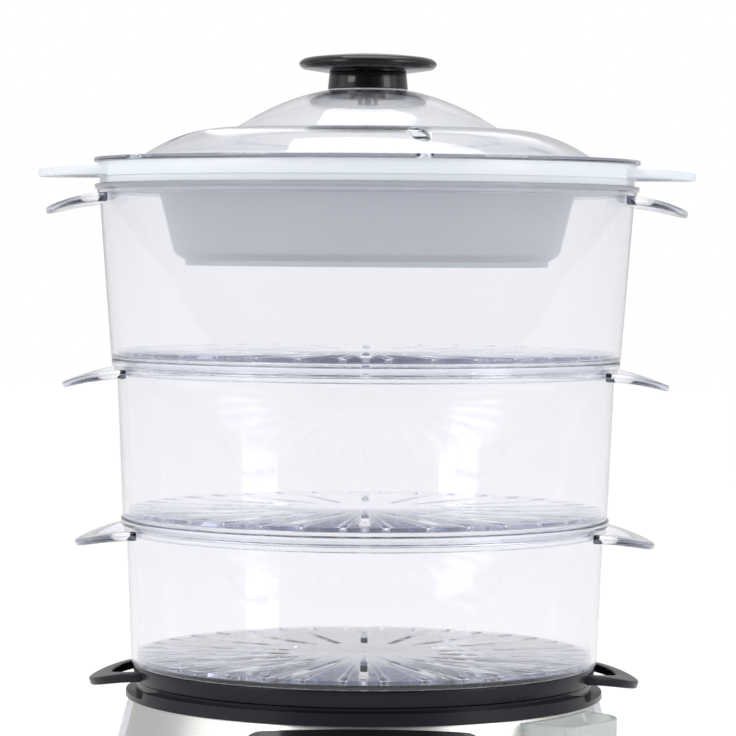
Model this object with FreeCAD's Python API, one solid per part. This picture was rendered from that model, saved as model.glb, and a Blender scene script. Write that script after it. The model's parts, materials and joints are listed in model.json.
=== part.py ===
import FreeCAD, Part
import math
import os

# Electric food steamer: a heated water base, a drip tray, three stacked clear baskets,
# a white rice bowl and a clear lid. Lengths are millimetres and angles are degrees.
# The origin is the middle of the footprint, on the surface that the feet stand on.
# The front faces -Y, +X is the right-hand side and +Z is up.
# An azimuth is counted from the front towards +X.

# Clearances
SEAT_GAP = 0.3            # between a lifted piece and what it stands on
NEST_CLEARANCE = 0.5      # radial, around a skirt that nests in the rim below
TRIM_CLEARANCE = 0.15     # around a panel, lens or skin in its recess
BUTTON_CLEARANCE = 0.3    # around a button in its hole, and behind the panel
PLUG_CLEARANCE = 0.1      # around a foot's plug, a seal or a shank in its hole

# Feet, housing and collar
FOOT_HEIGHT = 6.0
FOOT_RADIUS = 9.0
FOOT_OFFSET = 80.0        # from each middle plane to a foot's centre
FOOT_PLUG_RADIUS = 3.8
HOUSING_HEIGHT = 86.0
HOUSING_FLARE = 22.6      # how much wider the housing is at its foot than at its deck
HOUSING_WALL = 2.5
COLLAR_RADIUS = 119.25    # the stack's other radii follow from this one
COLLAR_OVERHANG = 1.85
COLLAR_DRAFT = 0.5
COLLAR_HEIGHT = 6.0
COLLAR_LIP = 1.0          # how far the collar reaches in over its seat ring
SEAT_RING_RISE = 1.7      # the ring that carries the drip tray, above the collar
SEAT_RING_WIDTH = 2.5
NOTCH_DEPTH = 3.6
NOTCH_AZIMUTH = 65.0
NOTCH_CORNER = 2.5

# Bottom cover
COVER_THICKNESS = 2.5
COVER_VENTS = 12
COVER_VENT_LENGTH = 22.0
COVER_VENT_WIDTH = 4.0
COVER_VENT_RADIUS = 52.0
SCREW_X = 44.0
SCREW_INSET = 8.0         # from the housing's inner wall at its foot to a screw's axis
SCREW_HEAD_RADIUS = 3.6
SCREW_HEAD_HEIGHT = 2.0
SCREW_SHANK_RADIUS = 1.9
SCREW_LENGTH = 14.0
BOSS_RADIUS = 5.0
BOSS_HEIGHT = 22.0

# Water basin and heater
BASIN_FLANGE = 1.8
BASIN_WALL = 2.2
BASIN_INSET = 15.25       # from the collar's outside to the basin's inner wall
BASIN_DEPTH = 54.0
BASIN_TAPER = 6.0
HEATER_HOLE_RADIUS = 44.0
HEATER_LAND = 5.0
HEATER_PLATE_THICKNESS = 2.0
HEATER_BOSS_DEPTH = 6.0
GASKET_THICKNESS = 1.0
ELEMENT_RADIUS = 27.0
ELEMENT_WIDTH = 8.0
ELEMENT_HEIGHT = 7.0
ELEMENT_OPENING = 50.0
TERMINAL_RADIUS = 1.6
TERMINAL_LENGTH = 9.0
THERMOSTAT_RADIUS = 8.0
THERMOSTAT_HEIGHT = 8.0

# Steel skin and control panel
SKIN_AZIMUTH = 73.5
SKIN_THICKNESS = 0.8
SKIN_PROUD = 0.3
SKIN_MARGIN = 3.0
PANEL_WIDTH = 115.0
PANEL_HEIGHT = 58.0
PANEL_TOP_GAP = 1.4       # below the housing's deck
PANEL_CORNER = 9.0
PANEL_THICKNESS = 2.5
PANEL_PROUD = 1.0
PANEL_LEDGE = 3.0
LENS_WIDTH = 58.0
LENS_HEIGHT = 24.0
LENS_RISE = 11.0          # above the panel's middle
LENS_CORNER = 2.5
LENS_THICKNESS = 1.4
LENS_LEDGE = 2.0
MODULE_MARGIN = 0.5
MODULE_THICKNESS = 7.0
BOARD_SETBACK = 14.0      # behind the panel's middle
BOARD_WIDTH = 92.0
BOARD_HEIGHT = 46.0
BOARD_DROP = 4.0          # below the panel's middle
BOARD_THICKNESS = 1.5
POST_RADIUS = 2.5
POST_INSET = 4.0
BUTTON_COUNT = 4
BUTTON_END_MARGIN = 23.0  # from the panel's end to the outer button's middle
BUTTON_DROP = 14.0        # below the panel's middle
BUTTON_RADIUS = 6.5
BUTTON_FLANGE = 1.2
BUTTON_FLANGE_THICKNESS = 1.0
BUTTON_PROUD = 1.3        # above the panel's face
BUTTON_STEM = 3.0
BUTTON_TRAVEL = 1.0
SWITCH_SIZE = 6.0
SWITCH_HEIGHT = 3.0

# Water filler at the front right
FILLER_AZIMUTH = 52.0
FILLER_TOP_GAP = 1.5      # below the housing's deck
FILLER_DEPTH = 56.0
FILLER_WIDTH = 52.0
FILLER_REACH = 27.0       # out of the housing at its deck
FILLER_NEAR_CORNER = 9.0
FILLER_FAR_CORNER = 20.0
FILLER_WALL = 2.2
SPOUT_RADIUS = 6.0
SPOUT_WALL = 1.6
SPOUT_RISE = 8.0          # above the filler's floor
SEAL_THICKNESS = 2.0
SEAL_LIP = 1.5

# Cord gland at the back
GLAND_RISE = 15.0         # above the housing's lower edge
GLAND_RADIUS = 7.0
GLAND_FLANGE = 2.0
GLAND_FLANGE_DEPTH = 1.2
GLAND_BORE = 3.6
GLAND_LENGTH = 9.0

# Drip tray
TRAY_INSET = 3.75         # from the collar's outside to the tray's
TRAY_BAND_HEIGHT = 8.2
TRAY_WALL = 2.3
TRAY_GUTTER_GAP = 1.6     # between the tray's pan and the basin
TRAY_PAN_DEPTH = 11.0
TRAY_PAN_TAPER = 2.0
CHIMNEY_RADIUS = 36.0
CHIMNEY_RISE = 4.0        # above the tray's underside

# Baskets, bottom one first
BASKET_WALL = 2.3
BASKET_HEIGHTS = (72.0, 78.7, 86.2)
BASKET_STEPS = (1.0, 2.0, 3.0)        # foot radius beyond the rim below
BASKET_TAPERS = (2.5, 3.0, 6.25)      # rim radius beyond the basket's own foot
RIM_HEIGHTS = (7.0, 7.0, 4.8)
RIM_WIDTHS = (3.0, 3.0, 2.5)
RIM_BEVEL = 0.8           # how much narrower a rim band is at its foot
SKIRT_DEPTH = 5.0
FLOOR_THICKNESS = 2.0
FLOOR_EDGE = 1.8
SLOT_WIDTH = 3.5
OUTER_SLOTS = 36
OUTER_SLOT_LENGTH = 12.0
INNER_SLOTS = 18
INNER_SLOT_LENGTH = 40.0
INNER_SLOT_RADIUS = 38.0

# Loop handles: reach beyond the rim's outside, bottom basket first
BASKET_HANDLE_REACHES = (23.8, 25.3, 25.05)
BASKET_HANDLE_HALF_WIDTH = 46.0
TRAY_HANDLE_REACH = 22.0
TRAY_HANDLE_HALF_WIDTH = 34.0
BOWL_HANDLE_REACH = 30.0
BOWL_HANDLE_HALF_WIDTH = 46.0
HANDLE_ARM = 7.0
HANDLE_TIP = 11.5
HANDLE_ROOT_THICKNESS = 4.6
HANDLE_TIP_THICKNESS = 2.4
HANDLE_BELOW_RIM = 4.3
HANDLE_FALL = 8.2
TRAY_HANDLE_FALL = 6.4
BOWL_HANDLE_FALL = 1.6
BOWL_HANDLE_BELOW_RIM = 2.0
HANDLE_SINK = 1.0         # how deep an arm's root sits in the rim

# Rice bowl
BOWL_RIM_OUT = 0.75       # beyond the top basket's wall
BOWL_RIM_HEIGHT = 10.4
BOWL_RIM_STEP = 0.8
BOWL_RIM_LOWER = 3.3
BOWL_WALL = 2.5
BOWL_SKIRT_DEPTH = 4.0
TUB_INSET = 26.95         # from the skirt's outside to the tub's
TUB_TAPER = 7.2
TUB_DEPTH = 36.0
TUB_SHOULDER = 7.0
TUB_SHOULDER_DRAFT = 1.5
FOOT_RING_INSET = 13.0    # from the tub's outside to the foot ring's
FOOT_RING_HEIGHT = 2.6
BOWL_SLOTS = 18
BOWL_SLOT_LENGTH = 12.0
BOWL_SLOT_WIDTH = 5.0

# Lid and knob
LID_OVERHANG = 2.0        # beyond the bowl's rim
LID_WALL = 2.0
LID_SKIRT_DEPTH = 4.0
LID_SEAT_RISE = 34.5      # of the knob's seat above the flange
LID_SEAT_RADIUS = 20.5
DOME_RADIUS = 58.5
DOME_EDGE_DROP = 14.5
DOME_SAG = 2.0
HUMP_INNER_RADIUS = 67.0
HUMP_INNER_RISE = 14.8
HUMP_OUTER_RADIUS = 114.0
HUMP_CREST = 4.6
VENT_COUNT = 4
VENT_AZIMUTH = 15.0
VENT_RADIUS = 93.0
VENT_LENGTH = 17.0
VENT_WIDTH = 8.0
KNOB_GASKET_THICKNESS = 0.5
KNOB_STEM_RADIUS = 20.0
KNOB_STEM_HEIGHT = 8.6
KNOB_RADIUS = 34.4
KNOB_HEIGHT = 9.4
KNOB_EDGE = 4.6           # height of the cap's widest line above its underside
KNOB_LIP = 1.6
KNOB_SOCKET_DEPTH = 3.0
KNOB_SCREW_RADIUS = 2.5
KNOB_SCREW_HEAD_RADIUS = 5.0
KNOB_SCREW_HEAD_HEIGHT = 3.0
KNOB_WASHER_RADIUS = 9.0
KNOB_WASHER_THICKNESS = 1.2

ORIGIN = FreeCAD.Vector(0, 0, 0)
UP = FreeCAD.Vector(0, 0, 1)
ALONG_X = FreeCAD.Vector(1, 0, 0)
FAR = 400.0               # longer than any piece, for cutting tools

# Heights that follow
housing_z = FOOT_HEIGHT
deck_z = housing_z + HOUSING_HEIGHT
collar_z = deck_z + COLLAR_HEIGHT
seat_z = collar_z + SEAT_RING_RISE
tray_z = seat_z + SEAT_GAP
tray_top_z = tray_z + TRAY_BAND_HEIGHT
basin_top_z = deck_z + BASIN_FLANGE
basin_floor_z = basin_top_z - BASIN_DEPTH

# Radii that follow
deck_radius = COLLAR_RADIUS - COLLAR_OVERHANG
collar_inner_radius = COLLAR_RADIUS - COLLAR_OVERHANG - HOUSING_WALL - COLLAR_LIP - SEAT_RING_WIDTH
basin_radius = COLLAR_RADIUS - BASIN_INSET
tray_radius = COLLAR_RADIUS - TRAY_INSET


def housing_radius(z):
    """Outer radius of the housing at a height: its side is a straight cone."""
    return deck_radius + HOUSING_FLARE * (deck_z - z) / HOUSING_HEIGHT


# Angle by which the housing's outward direction points up
housing_lean = math.atan(HOUSING_FLARE / HOUSING_HEIGHT)


def bulged(start, end, rise, count):
    """Points along a shallow crown between two outline points, start left out."""
    points = []
    for i in range(1, count + 1):
        t = i / count
        crown = 4 * rise * t * (1 - t)
        points.append((start[0] + (end[0] - start[0]) * t, start[1] + (end[1] - start[1]) * t + crown))
    return points


def turned(*points):
    """Solid turned about the Z axis from a closed outline of (radius, height) points."""
    corners = [FreeCAD.Vector(radius, 0, height) for radius, height in points]
    outline = Part.makePolygon(corners + corners[:1])
    return Part.Face(outline).revolve(ORIGIN, UP, 360)


def ring(inner, outer, low, high):
    """Plain upright ring."""
    return turned((inner, low), (outer, low), (outer, high), (inner, high))


def rod(radius, low, high, x=0.0, y=0.0):
    """Upright cylinder between two heights."""
    return Part.makeCylinder(radius, high - low, FreeCAD.Vector(x, y, low), UP)


def block(width, depth, low, high, x=0.0, y=0.0):
    """Upright box about a centre line."""
    corner = FreeCAD.Vector(x - width / 2, y - depth / 2, low)
    return Part.makeBox(width, depth, high - low, corner)


def turn(shape, angle):
    """Copy of a shape turned about the Z axis."""
    copy = shape.copy()
    copy.rotate(ORIGIN, UP, angle)
    return copy


def around(shape, count):
    """The shape and its copies, evenly spaced about the Z axis."""
    return [turn(shape, 360.0 * i / count) for i in range(count)]


def at_azimuth(shape, azimuth):
    """A shape modelled on the front middle plane, turned to an azimuth."""
    return turn(shape, azimuth)


def both_sides(shape):
    """A shape on the +X side and its twin on the -X side."""
    return [shape, turn(shape, 180)]


def wedge(azimuth, low, high):
    """Everything within an azimuth either side of the front."""
    reach = FAR * math.sin(math.radians(azimuth))
    depth = FAR * math.cos(math.radians(azimuth))
    points = [(0, 0), (-reach, -depth), (-reach, -FAR), (reach, -FAR), (reach, -depth), (0, 0)]
    outline = Part.makePolygon([FreeCAD.Vector(x, y, low) for x, y in points])
    return Part.Face(outline).extrude(FreeCAD.Vector(0, 0, high - low))


def rounded_plate(width, height, corner, low, high, x=0.0, y=0.0):
    """Upright prism whose plan is a rectangle with rounded corners."""
    plate = block(width, height, low, high, x, y)
    upright = [edge for edge in plate.Edges if abs(edge.tangentAt(edge.FirstParameter).z) > 0.9]
    return plate.makeFillet(corner, upright)


def housing_form(offset):
    """Solid inside the housing's outer surface, grown by a radial offset."""
    return turned(
        (0, housing_z),
        (housing_radius(housing_z) + offset, housing_z),
        (deck_radius + offset, deck_z),
        (0, deck_z),
    )


def joined(shapes):
    """Overlapping shapes made one solid."""
    return shapes[0].fuse(shapes[1:]).removeSplitter()


def loop_handle(rim, reach, half_width, top, root_thickness, tip_thickness, fall):
    """Loop handle on the +X side: a D-shaped band that arches down to its tip."""
    tip = rim + reach
    seat = rim - HANDLE_SINK
    inner_half = half_width - HANDLE_ARM
    outer_x = math.sqrt(seat ** 2 - half_width ** 2)
    inner_x = math.sqrt(seat ** 2 - inner_half ** 2)
    outer_low = FreeCAD.Vector(outer_x, -half_width, 0)
    outer_high = FreeCAD.Vector(outer_x, half_width, 0)
    inner_low = FreeCAD.Vector(inner_x, -inner_half, 0)
    inner_high = FreeCAD.Vector(inner_x, inner_half, 0)
    plan = Part.Wire([
        Part.Arc(outer_low, FreeCAD.Vector(tip, 0, 0), outer_high).toShape(),
        Part.LineSegment(outer_high, inner_high).toShape(),
        Part.Arc(inner_high, FreeCAD.Vector(tip - HANDLE_TIP, 0, 0), inner_low).toShape(),
        Part.LineSegment(inner_low, outer_low).toShape(),
    ])
    column = Part.Face(plan).extrude(FreeCAD.Vector(0, 0, FAR))
    column.translate(FreeCAD.Vector(0, 0, top - FAR / 2))

    middle_x = (outer_x + tip) / 2
    bottom = top - root_thickness
    low_fall = fall + tip_thickness - root_thickness
    side = [
        FreeCAD.Vector(outer_x, -half_width, top),
        FreeCAD.Vector(middle_x, -half_width, top - 0.3 * fall),
        FreeCAD.Vector(tip, -half_width, top - fall),
        FreeCAD.Vector(tip, -half_width, bottom - low_fall),
        FreeCAD.Vector(middle_x, -half_width, bottom - 0.3 * low_fall),
        FreeCAD.Vector(outer_x, -half_width, bottom),
    ]
    slab_wire = Part.Wire([
        Part.Arc(side[0], side[1], side[2]).toShape(),
        Part.LineSegment(side[2], side[3]).toShape(),
        Part.Arc(side[3], side[4], side[5]).toShape(),
        Part.LineSegment(side[5], side[0]).toShape(),
    ])
    slab = Part.Face(slab_wire).extrude(FreeCAD.Vector(0, 2 * half_width, 0))
    return slab.common(column)


# Base: housing, skin, collar and cover

panel_z = deck_z - PANEL_TOP_GAP - PANEL_HEIGHT / 2 * math.cos(housing_lean)
panel_place = FreeCAD.Placement(
    FreeCAD.Vector(0, -housing_radius(panel_z), panel_z),
    FreeCAD.Rotation(ALONG_X, 90 - math.degrees(housing_lean)),
)
board_front = -BOARD_SETBACK
board_back = board_front - BOARD_THICKNESS
screw_radius = housing_radius(housing_z) - HOUSING_WALL - SCREW_INSET
cover_top_z = housing_z + COVER_THICKNESS
gland_z = housing_z + GLAND_RISE
filler_floor_z = deck_z - FILLER_TOP_GAP - FILLER_DEPTH
spout_z = filler_floor_z + SPOUT_RISE


def on_panel(shape):
    """Puts a shape from the panel's own frame in its place.
    There X runs right, Y up along the panel and Z straight out of its middle."""
    placed = shape.copy()
    placed.Placement = panel_place.multiply(placed.Placement)
    return placed


def panel_prism(width, height, corner, rise=0.0, low=-FAR / 8, high=FAR / 8):
    """Rounded prism that goes straight through the panel."""
    return on_panel(rounded_plate(width, height, corner, low, high, 0, rise))


def between(outer, inner):
    """Curved layer of the housing's form between two radial offsets."""
    return housing_form(outer).cut(housing_form(inner))


def screw_places():
    """Plan positions of the cover's screws."""
    y = math.sqrt(screw_radius ** 2 - SCREW_X ** 2)
    return [(sx * SCREW_X, sy * y) for sx in (-1, 1) for sy in (-1, 1)]


def gland_rod(radius, inner, outer):
    """Cylinder through the back wall, square to it, between two depths."""
    outward = FreeCAD.Vector(0, math.cos(housing_lean), math.sin(housing_lean))
    start = FreeCAD.Vector(0, housing_radius(gland_z), gland_z) + outward * inner
    return Part.makeCylinder(radius, outer - inner, start, outward)


def spout_rod(radius, inner, outer):
    """Level cylinder at the filler's azimuth between two radii."""
    start = FreeCAD.Vector(0, -inner, spout_z)
    bar = Part.makeCylinder(radius, outer - inner, start, FreeCAD.Vector(0, -1, 0))
    return at_azimuth(bar, FILLER_AZIMUTH)


def make_housing():
    """Flared shell with an inner deck, the panel's window and four screw bosses."""
    shell = housing_form(0).cut(housing_form(-HOUSING_WALL))
    deck = ring(basin_radius + BASIN_WALL + NEST_CLEARANCE, deck_radius,
                deck_z - HOUSING_WALL, deck_z)
    bosses = [rod(BOSS_RADIUS, cover_top_z, cover_top_z + BOSS_HEIGHT, x, y) for x, y in screw_places()]
    shell = joined([shell, deck] + [boss.common(housing_form(-1)) for boss in bosses])
    pockets = [rod(SCREW_SHANK_RADIUS + PLUG_CLEARANCE, 0, housing_z + SCREW_LENGTH + 2, x, y)
               for x, y in screw_places()]
    skin_bed = between(5, SKIN_PROUD - SKIN_THICKNESS - TRIM_CLEARANCE)
    skin_bed = skin_bed.common(wedge(SKIN_AZIMUTH + TRIM_CLEARANCE, housing_z + SKIN_MARGIN, FAR))
    rebate = panel_prism(PANEL_WIDTH + 2 * TRIM_CLEARANCE, PANEL_HEIGHT + 2 * TRIM_CLEARANCE,
                         PANEL_CORNER + TRIM_CLEARANCE)
    rebate = rebate.common(between(5, PANEL_PROUD - PANEL_THICKNESS - TRIM_CLEARANCE))
    window = panel_prism(PANEL_WIDTH - 2 * PANEL_LEDGE, PANEL_HEIGHT - 2 * PANEL_LEDGE,
                         PANEL_CORNER - PANEL_LEDGE)
    window = window.common(block(FAR, FAR, 0, FAR, 0, -FAR / 2))
    gland_hole = gland_rod(GLAND_RADIUS - GLAND_FLANGE + PLUG_CLEARANCE, -20, 20)
    gland_seat = gland_rod(GLAND_RADIUS + PLUG_CLEARANCE, -GLAND_FLANGE_DEPTH, 20)
    spout_hole = spout_rod(SPOUT_RADIUS + SEAL_THICKNESS + PLUG_CLEARANCE, basin_radius, FAR / 2)
    return shell.cut(pockets + [skin_bed, rebate, window, gland_hole, gland_seat, spout_hole])


def make_front_skin():
    """Brushed steel wrap over the front, open for the panel and the filler's spout."""
    skin = between(SKIN_PROUD, SKIN_PROUD - SKIN_THICKNESS)
    skin = skin.common(wedge(SKIN_AZIMUTH, housing_z + SKIN_MARGIN + TRIM_CLEARANCE, FAR))
    window = panel_prism(PANEL_WIDTH + 2 * TRIM_CLEARANCE, PANEL_HEIGHT + 2 * TRIM_CLEARANCE,
                         PANEL_CORNER + TRIM_CLEARANCE)
    spout_hole = spout_rod(SPOUT_RADIUS + SEAL_THICKNESS + PLUG_CLEARANCE, basin_radius, FAR / 2)
    return skin.cut([window, spout_hole])


def make_collar():
    """Ring round the deck, with the seat of the drip tray and two finger notches."""
    flange_radius = deck_radius - NEST_CLEARANCE
    body = turned(
        (flange_radius + PLUG_CLEARANCE, deck_z),
        (COLLAR_RADIUS, deck_z),
        (COLLAR_RADIUS - COLLAR_DRAFT, collar_z),
        (collar_inner_radius + SEAT_RING_WIDTH, collar_z),
        (collar_inner_radius + SEAT_RING_WIDTH, seat_z),
        (collar_inner_radius, seat_z),
        (collar_inner_radius, basin_top_z + PLUG_CLEARANCE),
        (flange_radius + PLUG_CLEARANCE, basin_top_z + PLUG_CLEARANCE),
    )
    half = COLLAR_RADIUS * math.cos(math.radians(NOTCH_AZIMUTH))
    notch = block(COLLAR_RADIUS, 2 * half, collar_z - NOTCH_DEPTH, FAR, COLLAR_RADIUS, 0)
    lying = [edge for edge in notch.Edges
             if abs(edge.tangentAt(edge.FirstParameter).x) > 0.9 and edge.BoundBox.ZMax < collar_z]
    notch = notch.makeFillet(NOTCH_CORNER, lying).cut(rod(collar_inner_radius + SEAT_RING_WIDTH, 0, 2 * FAR))
    return body.cut(both_sides(notch))


def make_cover():
    """Bottom plate with radial vents and holes for the feet and screws."""
    plate = rod(housing_radius(cover_top_z) - HOUSING_WALL - TRIM_CLEARANCE, housing_z, cover_top_z)
    vent = block(COVER_VENT_WIDTH, COVER_VENT_LENGTH, 0, FAR, 0, -COVER_VENT_RADIUS)
    holes = around(vent, COVER_VENTS)
    holes += [rod(FOOT_PLUG_RADIUS + PLUG_CLEARANCE, 0, FAR, x, y) for x, y in foot_places()]
    holes += [rod(SCREW_SHANK_RADIUS + PLUG_CLEARANCE, 0, FAR, x, y) for x, y in screw_places()]
    return plate.cut(holes)


def foot_places():
    """Plan positions of the feet."""
    return [(sx * FOOT_OFFSET, sy * FOOT_OFFSET) for sx in (-1, 1) for sy in (-1, 1)]


def make_feet():
    """Four rubber feet, each with a plug in the cover."""
    feet = []
    for x, y in foot_places():
        pad = Part.makeCone(FOOT_RADIUS - 1, FOOT_RADIUS, FOOT_HEIGHT, FreeCAD.Vector(x, y, 0), UP)
        feet.append(joined([pad, rod(FOOT_PLUG_RADIUS, FOOT_HEIGHT / 2, cover_top_z, x, y)]))
    return Part.makeCompound(feet)


def make_cover_screws():
    """Four screws up through the cover into the housing's bosses."""
    screws = []
    for x, y in screw_places():
        head = rod(SCREW_HEAD_RADIUS, housing_z - SCREW_HEAD_HEIGHT, housing_z, x, y)
        shank = rod(SCREW_SHANK_RADIUS, housing_z - SCREW_HEAD_HEIGHT / 2, housing_z + SCREW_LENGTH, x, y)
        screws.append(joined([head, shank]))
    return Part.makeCompound(screws)


# Base: water basin and heater

def make_basin():
    """Water basin that hangs from its flange on the housing's deck."""
    outer = basin_radius + BASIN_WALL
    floor_radius = basin_radius - BASIN_TAPER
    basin = turned(
        (basin_radius, basin_top_z),
        (floor_radius, basin_floor_z),
        (HEATER_HOLE_RADIUS, basin_floor_z),
        (HEATER_HOLE_RADIUS, basin_floor_z - BASIN_WALL),
        (floor_radius + BASIN_WALL, basin_floor_z - BASIN_WALL),
        (outer, deck_z),
        (deck_radius - NEST_CLEARANCE, deck_z),
        (deck_radius - NEST_CLEARANCE, basin_top_z),
    )
    return basin.cut(spout_rod(SPOUT_RADIUS + PLUG_CLEARANCE, basin_radius / 2, FAR / 2))


def make_heater_gasket():
    """Silicone ring under the heater plate's edge."""
    return ring(HEATER_HOLE_RADIUS, HEATER_HOLE_RADIUS + HEATER_LAND,
                basin_floor_z, basin_floor_z + GASKET_THICKNESS)


heater_low_z = basin_floor_z + GASKET_THICKNESS
heater_boss_z = heater_low_z - HEATER_BOSS_DEPTH


def make_heater_plate():
    """Round plate in the basin's floor, with a boss below that carries the element."""
    edge = HEATER_HOLE_RADIUS + HEATER_LAND
    boss = HEATER_HOLE_RADIUS - NEST_CLEARANCE
    return turned(
        (0, heater_boss_z),
        (boss, heater_boss_z),
        (boss, heater_low_z),
        (edge, heater_low_z),
        (edge, heater_low_z + HEATER_PLATE_THICKNESS),
        (0, heater_low_z + HEATER_PLATE_THICKNESS),
    )


def make_heating_element():
    """Sheathed element bent to an open ring under the plate, with its two terminals."""
    half = ELEMENT_WIDTH / 2
    low = heater_boss_z - ELEMENT_HEIGHT
    coil = turned(
        (ELEMENT_RADIUS - half, heater_boss_z),
        (ELEMENT_RADIUS - half / 2, low),
        (ELEMENT_RADIUS + half / 2, low),
        (ELEMENT_RADIUS + half, heater_boss_z),
    )
    coil = coil.cut(turn(wedge(ELEMENT_OPENING / 2, 0, FAR), 180))
    swing = math.radians(ELEMENT_OPENING / 2 + 8)
    x = ELEMENT_RADIUS * math.sin(swing)
    y = ELEMENT_RADIUS * math.cos(swing)
    pins = [rod(TERMINAL_RADIUS, low - TERMINAL_LENGTH, low + 1, sx * x, y) for sx in (-1, 1)]
    return joined([coil] + pins)


def make_thermostat():
    """Round thermostat against the middle of the heater's boss."""
    can = rod(THERMOSTAT_RADIUS, heater_boss_z - THERMOSTAT_HEIGHT, heater_boss_z)
    low = heater_boss_z - THERMOSTAT_HEIGHT
    tabs = [block(0.8, 5, low - 6, low + 1, sx * THERMOSTAT_RADIUS / 2, 0) for sx in (-1, 1)]
    return joined([can] + tabs)


# Base: control panel

def make_panel():
    """Curved panel with a lens recess, button holes and posts for the board."""
    panel = between(PANEL_PROUD, PANEL_PROUD - PANEL_THICKNESS)
    panel = panel.common(panel_prism(PANEL_WIDTH, PANEL_HEIGHT, PANEL_CORNER, 0, -FAR / 8, FAR / 8))
    posts = []
    for sx in (-1, 1):
        for sy in (-1, 1):
            x = sx * (BOARD_WIDTH / 2 - POST_INSET)
            y = sy * (BOARD_HEIGHT / 2 - POST_INSET) - BOARD_DROP
            posts.append(on_panel(rod(POST_RADIUS, board_front, 0, x, y)).common(housing_form(0)))
    panel = joined([panel] + posts)
    recess = panel_prism(LENS_WIDTH + 2 * TRIM_CLEARANCE, LENS_HEIGHT + 2 * TRIM_CLEARANCE,
                         LENS_CORNER + TRIM_CLEARANCE, LENS_RISE)
    recess = recess.common(between(5, PANEL_PROUD - LENS_THICKNESS - TRIM_CLEARANCE))
    light = panel_prism(LENS_WIDTH - 2 * LENS_LEDGE, LENS_HEIGHT - 2 * LENS_LEDGE,
                        LENS_CORNER / 2, LENS_RISE)
    holes = [on_panel(rod(BUTTON_RADIUS + BUTTON_CLEARANCE, -FAR / 8, FAR / 8, x, -BUTTON_DROP))
             for x in button_places()]
    return panel.cut([recess, light] + holes)


def make_lens():
    """Clear window over the display, flush with the panel."""
    lens = between(PANEL_PROUD, PANEL_PROUD - LENS_THICKNESS)
    return lens.common(panel_prism(LENS_WIDTH, LENS_HEIGHT, LENS_CORNER, LENS_RISE))


def make_display():
    """Display module on the board, behind the lens."""
    return on_panel(block(LENS_WIDTH - 2 * LENS_LEDGE, LENS_HEIGHT + 2 * MODULE_MARGIN,
                          board_front, board_front + MODULE_THICKNESS, 0, LENS_RISE))


def make_board():
    """Circuit board on the panel's posts."""
    return on_panel(block(BOARD_WIDTH, BOARD_HEIGHT, board_back, board_front, 0, -BOARD_DROP))


def button_places():
    """Places of the buttons along the panel, left to right."""
    spacing = (PANEL_WIDTH - 2 * BUTTON_END_MARGIN) / (BUTTON_COUNT - 1)
    return [spacing * (i - (BUTTON_COUNT - 1) / 2) for i in range(BUTTON_COUNT)]


def make_switches():
    """Small switches on the board, one behind each button."""
    return Part.makeCompound([
        on_panel(block(SWITCH_SIZE, SWITCH_SIZE, board_front, board_front + SWITCH_HEIGHT, x, -BUTTON_DROP))
        for x in button_places()
    ])


def make_button(x):
    """Push button whose face follows the panel, with a flange behind and a stem."""
    behind = PANEL_PROUD - PANEL_THICKNESS - BUTTON_CLEARANCE
    cap = on_panel(rod(BUTTON_RADIUS, -FAR / 8, FAR / 8, x, -BUTTON_DROP))
    cap = cap.common(between(PANEL_PROUD + BUTTON_PROUD, behind - BUTTON_FLANGE_THICKNESS))
    flange = on_panel(rod(BUTTON_RADIUS + BUTTON_FLANGE, -FAR / 8, FAR / 8, x, -BUTTON_DROP))
    flange = flange.common(between(behind, behind - BUTTON_FLANGE_THICKNESS))
    stem_end = board_front + SWITCH_HEIGHT + BUTTON_TRAVEL + BUTTON_CLEARANCE
    stem = on_panel(block(BUTTON_STEM, BUTTON_STEM, stem_end, 0, x, -BUTTON_DROP))
    stem = stem.common(housing_form(behind))
    return joined([cap, flange, stem])


# Base: water filler and cord gland

def filler_prism(wall, low):
    """Plan of the filler cup drawn in by a wall, as a prism that runs into the housing."""
    front = deck_radius + FILLER_REACH - wall
    back = deck_radius / 2
    prism = block(FILLER_WIDTH - 2 * wall, front - back, low, deck_z - FILLER_TOP_GAP, 0, -(front + back) / 2)
    for side, corner in ((-1, FILLER_NEAR_CORNER), (1, FILLER_FAR_CORNER)):
        upright = [edge for edge in prism.Edges
                   if abs(edge.tangentAt(edge.FirstParameter).z) > 0.9
                   and side * edge.CenterOfMass.x > 0 and edge.CenterOfMass.y < -(front + back) / 2]
        prism = prism.makeFillet(corner - wall, upright)
    return at_azimuth(prism, FILLER_AZIMUTH)


def make_filler():
    """Open cup on the housing's front right, with a spout into the basin."""
    back = SKIN_PROUD + TRIM_CLEARANCE
    cup = filler_prism(0, filler_floor_z).cut(housing_form(back))
    room = filler_prism(FILLER_WALL, filler_floor_z + FILLER_WALL)
    room = room.cut(housing_form(back + FILLER_WALL))
    spout_inner = basin_radius - BASIN_TAPER
    spout_outer = housing_radius(spout_z) + back + FILLER_WALL / 2
    cup = joined([cup, spout_rod(SPOUT_RADIUS, spout_inner, spout_outer)])
    bore = spout_rod(SPOUT_RADIUS - SPOUT_WALL, 0, spout_outer + FILLER_WALL)
    return cup.cut([room, bore])


def make_filler_seal():
    """Grommet round the spout in the housing's wall."""
    hole = SPOUT_RADIUS + SEAL_THICKNESS
    sleeve = spout_rod(hole, basin_radius, FAR / 2).common(between(SKIN_PROUD, -HOUSING_WALL - SEAL_LIP))
    lip = spout_rod(hole + SEAL_LIP, basin_radius, FAR / 2)
    lip = lip.common(between(-HOUSING_WALL - PLUG_CLEARANCE, -HOUSING_WALL - SEAL_LIP))
    return joined([sleeve, lip]).cut(spout_rod(SPOUT_RADIUS + PLUG_CLEARANCE, 0, FAR / 2))


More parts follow.
